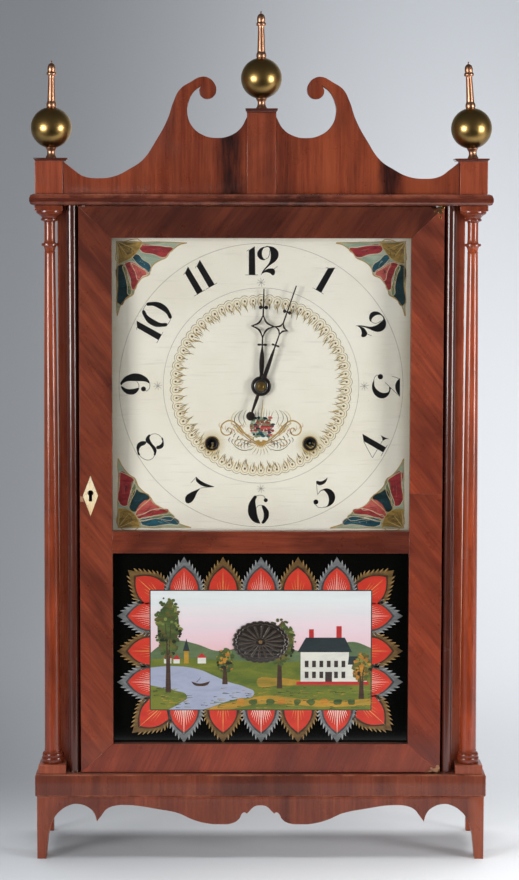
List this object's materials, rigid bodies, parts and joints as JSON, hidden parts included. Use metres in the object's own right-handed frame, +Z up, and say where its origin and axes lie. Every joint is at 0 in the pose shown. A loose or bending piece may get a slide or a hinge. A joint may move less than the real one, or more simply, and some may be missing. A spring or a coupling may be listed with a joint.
{
  "type": "pillar and scroll shelf clock",
  "caption": "Tall veneered shelf clock with a scrolled pediment, ball finials, free-standing pillars, a glazed and painted door, and a weight-driven wooden movement.",
  "frame": {"origin": "on the floor under the middle of the clock's bounding box", "axes": "+Z up, the door and dial face -Y, +X to the right as seen from the front"},
  "size_m": [0.4338, 0.116, 0.8],
  "materials": {
    "mahogany": "french polished veneer",
    "dark_mahogany": "dark polished",
    "pine": "bare board",
    "cherry": "turned and cut, bare",
    "brass": "satin",
    "iron": "blackened",
    "steel": "plain",
    "bone": "polished bone",
    "dial_paint": "painted",
    "clear_glass": "clear",
    "painted_glass": "painted on the back",
    "hemp": "twisted cord"
  },
  "bodies": {
    "case": {"base_board": "mahogany", "front_skirt": "mahogany", "side_skirt_left": "mahogany", "side_skirt_right": "mahogany", "backboard": "pine", "case_side_left": "mahogany", "case_side_right": "mahogany", "top_board": "pine", "jamb_left": "dark_mahogany", "jamb_right": "dark_mahogany", "cornice": "dark_mahogany", "scroll_board": "mahogany", "side_plinth_left": "mahogany", "side_plinth_right": "mahogany", "centre_plinth": "mahogany", "plinth_cap_left": "dark_mahogany", "plinth_cap_right": "dark_mahogany", "finial_left": "brass", "finial_right": "brass", "finial_centre": "brass", "pillar_plinth_left": "mahogany", "pillar_plinth_right": "mahogany", "pillar_left": "mahogany", "pillar_right": "mahogany", "dial_board": "dial_paint", "front_plate": "cherry", "back_plate": "cherry", "bell": "iron", "time_drum_cord": "hemp", "strike_drum_cord": "hemp"},
    "door": {"door_stile_left": "mahogany", "door_stile_right": "mahogany", "door_top_rail": "mahogany", "door_middle_rail": "mahogany", "door_bottom_rail": "mahogany", "door_glass": "clear_glass", "painted_tablet": "painted_glass", "escutcheon": "bone", "lock_case": "iron", "door_pivot_top": "brass", "door_pivot_bottom": "brass"},
    "lock_bolt": {"lock_bolt": "steel"},
    "hour_hand": {"hour_hand": "iron"},
    "minute_hand": {"minute_hand": "iron"},
    "minute_wheel": {"minute_wheel": "cherry"},
    "great_wheel": {"great_wheel": "cherry"},
    "centre_wheel": {"centre_wheel": "cherry"},
    "third_wheel": {"third_wheel": "cherry"},
    "escape_wheel": {"escape_wheel": "cherry"},
    "pendulum": {"pendulum": "brass", "verge": "steel"},
    "time_drum": {"time_drum": "cherry"},
    "strike_drum": {"strike_drum": "cherry"},
    "time_weight": {"time_weight": "iron", "time_cord": "hemp"},
    "strike_weight": {"strike_weight": "iron", "strike_cord": "hemp"},
    "time_pulley": {"time_pulley": "cherry"},
    "strike_pulley": {"strike_pulley": "cherry"},
    "hammer": {"hammer": "iron"}
  },
  "joints": [
    {"name": "door_swing", "type": "hinge", "parent": "case", "child": "door", "pos_m": [0.1677, -0.0467, 0], "axis": [0, 0, 1], "range_deg": [0, 100]},
    {"name": "lock_bolt_slide", "type": "slide", "parent": "door", "child": "lock_bolt", "axis": [-1, 0, 0], "range_m": [0, 0.005]},
    {"name": "minute_hand_turn", "type": "hinge", "parent": "case", "child": "minute_hand", "pos_m": [0, 0, 0.45], "axis": [0, 1, 0], "continuous": true},
    {"name": "hour_hand_turn", "type": "hinge", "parent": "case", "child": "hour_hand", "pos_m": [0, 0, 0.45], "axis": [0, 1, 0], "continuous": true},
    {"name": "minute_wheel_turn", "type": "hinge", "parent": "case", "child": "minute_wheel", "pos_m": [-0.03, 0, 0.45], "axis": [0, 1, 0], "continuous": true},
    {"name": "third_wheel_turn", "type": "hinge", "parent": "case", "child": "third_wheel", "pos_m": [0.04016, 0, 0.48903], "axis": [0, 1, 0], "continuous": true},
    {"name": "centre_wheel_turn", "type": "hinge", "parent": "case", "child": "centre_wheel", "pos_m": [0, 0, 0.45], "axis": [0, 1, 0], "continuous": true},
    {"name": "great_wheel_turn", "type": "hinge", "parent": "case", "child": "great_wheel", "pos_m": [0.04646, 0, 0.395], "axis": [0, 1, 0], "continuous": true},
    {"name": "escape_wheel_turn", "type": "hinge", "parent": "case", "child": "escape_wheel", "pos_m": [0, 0, 0.507], "axis": [0, 1, 0], "continuous": true},
    {"name": "pendulum_swing", "type": "hinge", "parent": "case", "child": "pendulum", "pos_m": [0, 0, 0.531], "axis": [0, 1, 0], "range_deg": [-3, 3]},
    {"name": "hammer_swing", "type": "hinge", "parent": "case", "child": "hammer", "pos_m": [-0.1, 0, 0.352], "axis": [0, 1, 0], "range_deg": [-1, 9]},
    {"name": "time_weight_slide", "type": "slide", "parent": "case", "child": "time_weight", "axis": [0, 0, 1], "range_m": [0, 0.36], "deforming": ["time_cord"]},
    {"name": "time_drum_turn", "type": "hinge", "parent": "case", "child": "time_drum", "pos_m": [0.04646, 0, 0.395], "axis": [0, 1, 0], "range_deg": [0, 1129]},
    {"name": "time_pulley_turn", "type": "hinge", "parent": "case", "child": "time_pulley", "pos_m": [0.14, 0, 0.6053], "axis": [0, 1, 0], "range_deg": [-1720, 0]},
    {"name": "strike_weight_slide", "type": "slide", "parent": "case", "child": "strike_weight", "axis": [0, 0, 1], "range_m": [0, 0.36], "deforming": ["strike_cord"]},
    {"name": "strike_drum_turn", "type": "hinge", "parent": "case", "child": "strike_drum", "pos_m": [-0.04646, 0, 0.395], "axis": [0, 1, 0], "range_deg": [-1129, 0]},
    {"name": "strike_pulley_turn", "type": "hinge", "parent": "case", "child": "strike_pulley", "pos_m": [-0.14, 0, 0.6053], "axis": [0, 1, 0], "range_deg": [0, 1720]}
  ],
  "couplings": [
    {"joint": "hour_hand_turn", "follows": "minute_hand_turn", "ratio": 0.083333},
    {"joint": "minute_wheel_turn", "follows": "minute_hand_turn", "ratio": -0.33333},
    {"joint": "centre_wheel_turn", "follows": "third_wheel_turn", "ratio": -0.11111},
    {"joint": "great_wheel_turn", "follows": "third_wheel_turn", "ratio": 0.012346},
    {"joint": "escape_wheel_turn", "follows": "third_wheel_turn", "ratio": -9},
    {"joint": "time_drum_turn", "follows": "time_weight_slide", "rad_per_m": 54.645},
    {"joint": "time_pulley_turn", "follows": "time_weight_slide", "rad_per_m": -83.333},
    {"joint": "strike_drum_turn", "follows": "strike_weight_slide", "rad_per_m": -54.645},
    {"joint": "strike_pulley_turn", "follows": "strike_weight_slide", "rad_per_m": 83.333}
  ]
}
